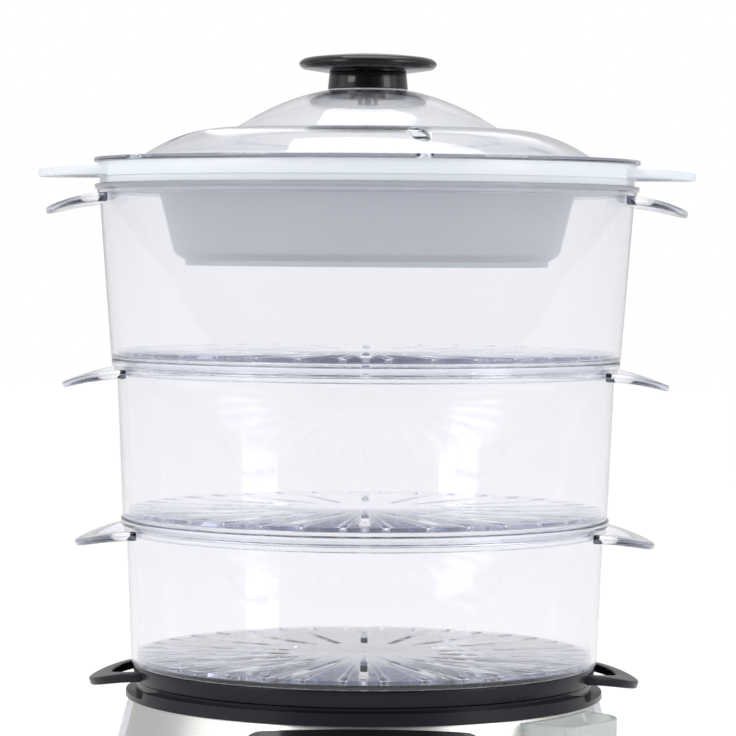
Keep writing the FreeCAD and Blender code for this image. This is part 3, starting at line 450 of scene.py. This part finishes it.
FINISHES = {
    "silver_plastic": finish("silver_plastic", (0.62, 0.63, 0.67), 0.32, second=(0.58, 0.59, 0.64), coat=0.3),
    "brushed_steel": finish("brushed_steel", (0.66, 0.65, 0.64), 0.27, metallic=1.0, second=(0.58, 0.57, 0.56),
                            patch=3.0, grain=9.0, relief=0.25, stretch=(3, 3, 260)),
    "black_satin": finish("black_satin", (0.006, 0.0065, 0.011), 0.24, second=(0.009, 0.0095, 0.015),
                          spread=0.06, relief=0.06, shine=0.22),
    "black_plastic": finish("black_plastic", (0.03, 0.03, 0.032), 0.55, second=(0.04, 0.04, 0.042), relief=0.3),
    "rubber": finish("rubber", (0.025, 0.025, 0.026), 0.75, second=(0.035, 0.035, 0.036), relief=0.4),
    "screw_steel": finish("screw_steel", (0.62, 0.61, 0.6), 0.25, metallic=1.0, second=(0.5, 0.49, 0.48)),
    "grey_plastic": finish("grey_plastic", (0.5, 0.51, 0.53), 0.42, second=(0.46, 0.47, 0.49), relief=0.15),
    "pale_rubber": finish("pale_rubber", (0.7, 0.7, 0.71), 0.5, second=(0.62, 0.62, 0.64), relief=0.2),
    "heater_alloy": finish("heater_alloy", (0.68, 0.68, 0.68), 0.35, metallic=1.0, second=(0.55, 0.55, 0.54),
                           relief=0.2),
    "element_steel": finish("element_steel", (0.4, 0.38, 0.35), 0.42, metallic=1.0, second=(0.3, 0.27, 0.24),
                            relief=0.2),
    "black_gloss": finish("black_gloss", (0.003, 0.003, 0.004), 0.09, second=(0.005, 0.005, 0.006), spread=0.03,
                          grain=300, relief=0.02, shine=0.36),
    "display_lens": finish("display_lens", (0.05, 0.06, 0.07), 0.06, clear=0.85, spread=0.02, relief=0.01),
    "display_face": finish("display_face", (0.18, 0.33, 0.4), 0.4, second=(0.14, 0.28, 0.34)),
    "circuit_board": finish("circuit_board", (0.02, 0.16, 0.07), 0.35, second=(0.03, 0.22, 0.1)),
    "switch_plastic": finish("switch_plastic", (0.05, 0.05, 0.05), 0.5, second=(0.07, 0.07, 0.07)),
    "button_face": finish("button_face", (0.45, 0.46, 0.48), 0.25, second=(0.4, 0.41, 0.43), coat=0.3),
    "frosted_plastic": tinted(finish("frosted_plastic", (0.93, 0.96, 0.95), 0.42, clear=0.8, ior=1.45,
                                     spread=0.08, relief=0.15), (0.8, 0.9, 0.86), 12.0),
    "clear_plastic": tinted(finish("clear_plastic", (0.965, 0.965, 0.985), 0.035, clear=1.0, ior=1.53,
                                   spread=0.015, grain=60, relief=0.02), (0.7, 0.72, 0.8), 34.0),
    "white_plastic": finish("white_plastic", (0.76, 0.8, 0.85), 0.3, second=(0.73, 0.775, 0.83), relief=0.05),
}


def dress(piece, slot_name):
    """Gives a piece the finish of its slot."""
    piece.data.materials.clear()
    piece.data.materials.append(FINISHES[slot_name])


for row in frame["record"]["subparts"]:
    dress(frame["nodes"][row["node"]], row["material_slot"])


def settle(piece, name, body, slot_name, *nodes):
    """Names a finished piece, gives it its slot's finish, sets what it rides on and hides the nodes it stands
    in for.
    """
    take(piece)
    bpy.ops.object.shade_smooth_by_angle(angle=math.radians(35))
    piece.name = piece.data.name = name
    dress(piece, slot_name)
    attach(piece, body)
    if nodes:
        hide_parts(*nodes)
    return piece


# Clear baskets and their floors

def make_basket(name, foot_z, rim_z, foot_r, rim_r, skirt_r, band, width, reach):
    """Wall with a rim band, a ledge for the floor, a skirt that nests in the ring below and two handles."""
    lip, ledge = rim_r + width, foot_z + WALL
    wall = turned(name, [
        (foot_r, foot_z),
        (rim_r, rim_z - band),
        (lip - 1.6, rim_z - band),
        (lip - 1.3, rim_z - 0.5 * band),
        (lip - 0.4, rim_z - 0.5 * band),
        (lip, rim_z),
        (rim_r - WALL, rim_z),
        (foot_r - WALL, ledge),
        (skirt_r - WALL, ledge),
        (skirt_r - WALL, foot_z - SKIRT_DEPTH),
        (skirt_r, foot_z - SKIRT_DEPTH),
        (skirt_r, foot_z),
    ])
    rounded(wall, 0.45)
    handles = loop_band(lip - 0.8, reach, LOOP_HALF, rim_z - 4.3, LOOP_ROOT, tip_thick=2.4, fall=8.2)
    combine(wall, handles, "UNION")
    settle(wall, name + "_shell", name, "clear_plastic", name, name + "_handles")


def make_floor(name, foot_z, foot_r):
    """Plate with an outer ring of short slots and an inner ring of long ones."""
    radius, low = foot_r - WALL - FLOOR_GAP, foot_z + WALL
    high, through = low + FLOOR_THICK, 10 * FLOOR_THICK
    plate = turned(name, [(POLE_R, low), (radius, low), (radius, high), (POLE_R, high)], closed=False)
    outer = box_tool((SLOT_WIDTH, OUTER_SLOT, through), (0, -(radius - OUTER_SLOT_INSET), low), 1.2)
    inner = box_tool((SLOT_WIDTH, INNER_SLOT, through), (0, -INNER_SLOT_R, low), 1.6)
    slots = one_piece([spun_copies(outer, 36, 5.0), spun_copies(inner, 18)])
    combine(plate, slots, "DIFFERENCE")
    rounded(plate, 0.3, 2)
    settle(plate, name + "_floor_plate", name, "clear_plastic", name + "_floor")


for basket, sizes in BASKETS.items():
    make_basket(basket, *sizes)
    make_floor(basket, sizes[0], sizes[2])


# Rice bowl

bowl = turned("rice_bowl", [
    (POLE_R, BOWL_FLOOR),
    (BOWL_FOOT_R, BOWL_FLOOR),
    (BOWL_FOOT_R, BOWL_FOOT_Z),
    (BOWL_FOOT_R + BOWL_WALL, BOWL_FOOT_Z),
    (BOWL_FOOT_R + BOWL_WALL, BOWL_FLOOR),
    (TUB_R - TUB_BEVEL, BOWL_FLOOR + BOWL_WALL),
    (TUB_R, TUB_Z),
    (TUB_TOP_R, BOWL_FLANGE_Z),
    (BOWL_SKIRT_R, BOWL_FLANGE_Z),
    (BOWL_SKIRT_R, BOWL_Z),
    (BOWL_BAND_R, BOWL_Z),
    (BOWL_BAND_R, BOWL_STEP),
    (BOWL_R, BOWL_STEP),
    (BOWL_R, BOWL_TOP),
    (BOWL_R - BOWL_WALL, BOWL_TOP),
    (BOWL_R - BOWL_WALL, BOWL_FLANGE_Z + BOWL_WALL),
    (TUB_TOP_R - BOWL_WALL, BOWL_FLANGE_Z + BOWL_WALL),
    (TUB_R - BOWL_WALL, TUB_Z + BOWL_WALL),
    (BOWL_FOOT_R, BOWL_FLOOR + BOWL_WALL),
    (POLE_R, BOWL_FLOOR + BOWL_WALL),
], closed=False)
combine(bowl, spun_copies(box_tool(BOWL_SLOT, BOWL_SLOT_PLACE, 2.2), 18), "DIFFERENCE")
rounded(bowl, 0.6)
combine(bowl, loop_band(BOWL_R, 29.9, LOOP_HALF, BOWL_TOP - 2.0, LOOP_ROOT, tip_thick=3.6, fall=1.6), "UNION")
settle(bowl, "rice_bowl_shell", "rice_bowl", "white_plastic", "rice_bowl", "bowl_handles")


# Lid and knob

def crowned(start, end, rise, count):
    """Points of a shallow crown between two outline points, start left out."""
    return [(start[0] + (end[0] - start[0]) * i / count,
             start[1] + (end[1] - start[1]) * i / count + 4 * rise * (i / count) * (1 - i / count))
            for i in range(1, count + 1)]


def lid_line(drop):
    """Dome and hump from the knob's seat outwards, at a depth below the lid's upper face."""
    seat, dome_edge = (KNOB_SEAT_R, KNOB_SEAT - drop), (DOME_R, KNOB_SEAT - DOME_DEPTH - drop)
    hump_start, hump_end = (HUMP_INNER_R, FLANGE_TOP + HUMP_HEIGHT - drop), (HUMP_OUTER_R, FLANGE_TOP - drop)
    dome = crowned(seat, dome_edge, DOME_RISE, 12)
    return [seat] + dome + [hump_start] + crowned(hump_start, hump_end, HUMP_RISE, 18)


lid_edge = [(LID_R, FLANGE_TOP), (LID_R, LID_Z), (LID_LIP_R, LID_Z), (LID_LIP_R, LID_LIP_Z),
            (LID_LIP_R - LID_WALL, LID_LIP_Z), (LID_LIP_R - LID_WALL, LID_Z)]
lid = turned("lid", [(SCREW_BORE, KNOB_SEAT)] + lid_line(0) + lid_edge
             + lid_line(LID_WALL)[::-1] + [(SCREW_BORE, KNOB_SEAT - LID_WALL)])
combine(lid, spun_copies(box_tool(VENT, VENT_PLACE, 3.9), 4, 15.0), "DIFFERENCE")
rounded(lid, 0.5)
settle(lid, "lid_shell", "lid", "clear_plastic", "lid")

stem = turned("knob_stem", [(SCREW_BORE, STEM_Z), (STEM_R, STEM_Z), (STEM_TOP_R, CAP_Z), (SCREW_BORE, CAP_Z)])
rounded(stem, 0.5)
settle(stem, "knob_stem_turned", "lid", "black_gloss", "knob_stem")

cap_middle = (POLE_R, CAP_TOP)
cap = turned("knob_cap", [cap_middle] + crowned(cap_middle, (CAP_R - 5.0, CAP_TOP - 2.2), 0.35, 6)
             + [(CAP_R - inset, CAP_TOP - drop) for inset, drop in CAP_EDGE]
             + [(STEM_R + 2.0, CAP_Z), (SCREW_BORE, CAP_Z), (SCREW_BORE, SOCKET_TOP), (POLE_R, SOCKET_TOP)],
             closed=False)
settle(cap, "knob_cap_turned", "lid", "black_gloss", "knob_cap")


# Drip tray and collar

tray = turned("drip_tray", [
    (TRAY_R, TRAY_TOP),
    (TRAY_FOOT_R, TRAY_Z),
    (TRAY_LEDGE_R, TRAY_Z),
    (POOL_R, POOL_Z),
    (CHIMNEY_R, POOL_Z),
    (CHIMNEY_R, CHIMNEY_TOP),
    (CHIMNEY_R + WALL, CHIMNEY_TOP),
    (CHIMNEY_R + WALL, POOL_Z + WALL),
    (POOL_R - WALL, POOL_Z + WALL),
    (TRAY_LEDGE_R - WALL, TRAY_Z + WALL),
    (TRAY_R - WALL, TRAY_Z + WALL),
    (TRAY_R - WALL, TRAY_TOP),
])
rounded(tray, 0.6)
combine(tray, loop_band(TRAY_R, 22.0, 34.0, TRAY_TOP - 2.7, LOOP_ROOT, tip_thick=3.4, fall=6.4), "UNION")
settle(tray, "drip_tray_shell", "drip_tray", "black_satin", "drip_tray", "tray_handles")

collar = turned("collar", [
    (COLLAR_INNER_R, DECK_Z),
    (COLLAR_R, DECK_Z),
    (COLLAR_TOP_R, COLLAR_TOP),
    (SEAT_OUTER_R, COLLAR_TOP),
    (SEAT_OUTER_R, SEAT_TOP),
    (SEAT_INNER_R, SEAT_TOP),
    (SEAT_INNER_R, COLLAR_FLOOR),
    (COLLAR_INNER_R, COLLAR_FLOOR),
])
notch = box_tool((COLLAR_R, NOTCH_WIDTH, NOTCH_HEIGHT), (COLLAR_R, 0, NOTCH_MIDDLE), NOTCH_ROUND, upright=False)
core_low, core_high = NOTCH_MIDDLE - NOTCH_HEIGHT, NOTCH_MIDDLE + NOTCH_HEIGHT
core = turned("core", [(POLE_R, core_low), (SEAT_OUTER_R, core_low), (SEAT_OUTER_R, core_high),
                       (POLE_R, core_high)], closed=False)
combine(notch, core, "DIFFERENCE")
combine(collar, spun_copies(notch, 2), "DIFFERENCE")
rounded(collar, 0.4, 2)
settle(collar, "collar_ring", "base", "black_satin", "base_collar")


# Water filler at the front right

def housing_cone(offset):
    """Solid inside the housing's outer surface, grown outwards."""
    low, high = HOUSING_LOW - 2.0, DECK_Z + 2.0
    slope = HOUSING_FLARE / (DECK_Z - HOUSING_LOW)
    foot_r, top_r = (HOUSING_R + slope * (DECK_Z - z) + offset for z in (low, high))
    return turned("cone", [(POLE_R, low), (foot_r, low), (top_r, high), (POLE_R, high)], closed=False)


def filler_form(wall, low, high):
    """Upright form of the filler cup, drawn in by a wall, with two rounded front corners."""
    front, width = FILLER_FRONT - wall, FILLER_WIDTH - 2 * wall
    form = box_tool((width, front - FILLER_BACK, high - low), (0, -(front + FILLER_BACK) / 2, (low + high) / 2))
    take(form)
    bpy.ops.object.mode_set(mode="EDIT")
    bpy.ops.mesh.select_mode(type="EDGE")
    for side, corner in ((-1, FILLER_LEFT_ROUND - wall), (1, FILLER_RIGHT_ROUND - wall)):
        mesh = bmesh.from_edit_mesh(form.data)
        for edge in mesh.edges:
            a, b = edge.verts[0].co / MM, edge.verts[1].co / MM
            edge.select = abs(a.z - b.z) > 10 and side * a.x > width / 4 and a.y < -(front - 1)
        bmesh.update_edit_mesh(form.data)
        bpy.ops.mesh.bevel(offset=corner * MM, segments=10)
    bpy.ops.object.mode_set(mode="OBJECT")
    return form


def spout_bar(radius, inner, outer):
    """Round bar along the spout, between two distances from the stack's axis."""
    deselect()
    bpy.ops.mesh.primitive_cylinder_add(vertices=48, radius=radius * MM, depth=(outer - inner) * MM,
                                        location=(0, -(inner + outer) / 2 * MM, SPOUT_Z * MM),
                                        rotation=(math.pi / 2, 0, 0))
    bpy.ops.object.transform_apply(location=True, rotation=True, scale=True)
    return bpy.context.active_object


filler = filler_form(0.0, FILLER_LOW, FILLER_TOP)
combine(filler, housing_cone(FILLER_GAP), "DIFFERENCE")
combine(filler, spout_bar(SPOUT_R, 98.5, 132.0), "UNION")
room = filler_form(FILLER_WALL, FILLER_LOW + FILLER_WALL, FILLER_TOP + 4.5)
combine(room, housing_cone(FILLER_GAP + FILLER_WALL), "DIFFERENCE")
combine(filler, room, "DIFFERENCE")
combine(filler, spout_bar(SPOUT_BORE, 90.0, 134.5), "DIFFERENCE")
rounded(filler, 0.6)
filler.data.transform(Matrix.Rotation(math.radians(FILLER_AZIMUTH), 4, "Z"))
settle(filler, "water_filler_cup", "base", "frosted_plastic", "water_filler")


# Raised marks on the buttons

def bar(width, height, z=0.0):
    """Flat bar of a sign, facing the front."""
    return box_tool((width, SIGN_THICK, height), (0, 0, z))


def power_sign():
    """Open ring with a bar in its gap."""
    inner, outer, half = 2.3, 3.1, SIGN_THICK / 2
    hoop = turned("hoop", [(outer, -half), (outer, half), (inner, half), (inner, -half)], turns=48)
    hoop.data.transform(Matrix.Rotation(math.radians(90), 4, "X"))
    combine(hoop, box_tool((2.4, 3.0, 3.0), (0, 0, 3.0)), "DIFFERENCE")
    return one_piece([hoop, bar(0.8, 3.0, 2.0)])


def put_on_button(sign, body):
    """Lays a sign on the middle of a button's face, standing a little proud of it."""
    button = frame["nodes"][body]
    points = [button.matrix_world @ vertex.co for vertex in button.data.vertices]
    lean = math.atan2(HOUSING_FLARE, DECK_Z - HOUSING_LOW)
    outwards = Vector((0, -math.cos(lean), math.sin(lean)))
    axis = sum(points, Vector()) / len(points)
    tree = BVHTree.FromPolygons(points, [list(face.vertices) for face in button.data.polygons])
    spot, level, _, _ = tree.ray_cast(axis + outwards * 0.1, -outwards)
    across = Vector((0, 0, 1)).cross(level).normalized()
    turn = Matrix((across, -level, level.cross(across))).transposed().to_4x4()
    rounded(sign, SIGN_ROUND, 2)
    sign.data.transform(Matrix.Translation(spot - level * (SIGN_THICK / 2 - SIGN_PROUD) * MM) @ turn)
    settle(sign, body + "_sign", body, "black_plastic")


put_on_button(power_sign(), "button_power")
put_on_button(bar(SIGN_LENGTH, 1.0), "button_minus")
put_on_button(combine(bar(SIGN_LENGTH, 1.0), bar(1.0, SIGN_LENGTH), "UNION"), "button_plus")
put_on_button(one_piece([bar(4.8, 0.8, z) for z in (-1.9, 0.0, 1.9)]), "button_menu")


# Floor, light and camera

def lit_floor():
    """Pale floor that shows white to the camera and keeps a faint shadow under the feet."""
    deselect()
    bpy.ops.mesh.primitive_grid_add(x_subdivisions=4, y_subdivisions=4, size=12)
    floor = bpy.context.active_object
    floor.name = "studio_floor"
    material = bpy.data.materials.new("studio_floor")
    material.use_nodes = True
    nodes, links = material.node_tree.nodes, material.node_tree.links
    shader = nodes["Principled BSDF"]
    shader.inputs["Roughness"].default_value = 0.7
    shader.inputs["Emission Color"].default_value = (1, 1, 1, 1)
    seen = seen_directly(nodes, links)
    links.new(reckon(nodes, links, "MULTIPLY", seen, FLOOR_GLOW), shader.inputs["Emission Strength"])
    paint = nodes.new("ShaderNodeMix")
    paint.data_type = "RGBA"
    paint.inputs["A"].default_value = (0.9, 0.9, 0.9, 1)
    paint.inputs["B"].default_value = (0.25, 0.25, 0.25, 1)
    links.new(seen, paint.inputs["Factor"])
    links.new(paint.outputs["Result"], shader.inputs["Base Color"])
    floor.data.materials.append(material)


def studio_world():
    """White to the camera and through clear plastic; a soft tent, bright at both sides, dim in front."""
    world = bpy.data.worlds.new("studio")
    bpy.context.scene.world = world
    world.use_nodes = True
    nodes, links = world.node_tree.nodes, world.node_tree.links
    sky = nodes["Background"]
    place = nodes.new("ShaderNodeTexCoord")
    parts = nodes.new("ShaderNodeSeparateXYZ")
    links.new(place.outputs["Generated"], parts.inputs["Vector"])
    forwards = reckon(nodes, links, "MULTIPLY", parts.outputs["Y"], -1.0)
    azimuth = reckon(nodes, links, "ARCTAN2", parts.outputs["X"], forwards)
    side = reckon(nodes, links, "ABSOLUTE", azimuth)
    share = reckon(nodes, links, "DIVIDE", side, math.pi)
    walls = nodes.new("ShaderNodeValToRGB")
    ramp = walls.color_ramp
    ramp.interpolation = "EASE"
    while len(ramp.elements) < len(TENT_WALLS):
        ramp.elements.new(0.5)
    for element, (position, level) in zip(ramp.elements, TENT_WALLS):
        element.position = position
        element.color = (level, level, level, 1)
    links.new(share, walls.inputs["Fac"])
    brightened = reckon(nodes, links, "MULTIPLY", walls.outputs["Color"], TENT_GAIN)
    top = nodes.new("ShaderNodeMapRange")
    top.interpolation_type = "SMOOTHSTEP"
    for name, value in (("From Min", 0.55), ("From Max", 0.9)):
        top.inputs[name].default_value = value
    links.new(parts.outputs["Z"], top.inputs["Value"])
    tent = nodes.new("ShaderNodeMix")
    tent.data_type = "FLOAT"
    links.new(top.outputs["Result"], tent.inputs["Factor"])
    links.new(brightened, tent.inputs["A"])
    tent.inputs["B"].default_value = TENT_TOP
    colour = nodes.new("ShaderNodeMix")
    colour.data_type = "FLOAT"
    links.new(seen_directly(nodes, links), colour.inputs["Factor"])
    links.new(tent.outputs["Result"], colour.inputs["A"])
    colour.inputs["B"].default_value = 1.0
    links.new(colour.outputs["Result"], sky.inputs["Color"])


def lamp(name, place, power, size):
    """Area lamp aimed at the middle of the stack."""
    light = bpy.data.lights.new(name, "AREA")
    light.energy = power
    light.shape = "RECTANGLE"
    light.size, light.size_y = size
    fixture = bpy.data.objects.new(name, light)
    bpy.context.scene.collection.objects.link(fixture)
    fixture.location = place
    aim = Vector((0, 0, 0.22)) - Vector(place)
    fixture.rotation_euler = aim.to_track_quat("-Z", "Y").to_euler()


lit_floor()
studio_world()
lamp("key_lamp", (-1.3, -1.1, 1.1), 9.0, (0.7, 1.0))
lamp("fill_lamp", (1.4, -0.9, 0.8), 6.0, (0.6, 1.2))
lamp("top_lamp", (0.1, 0.4, 1.7), 6.0, (1.0, 1.0))

camera_data = bpy.data.cameras.new("camera")
camera_data.lens = 161.4
camera_data.sensor_width = 36.0
camera = bpy.data.objects.new("camera", camera_data)
bpy.context.scene.collection.objects.link(camera)
camera.location = (0.0006, -1.65, 0.3165)
camera.rotation_euler = (math.radians(87.87), math.radians(-0.4), 0)
bpy.context.scene.camera = camera

scene = bpy.context.scene
scene.view_settings.view_transform = "Standard"
scene.cycles.max_bounces = 24
scene.cycles.transmission_bounces = 24
scene.cycles.glossy_bounces = 8
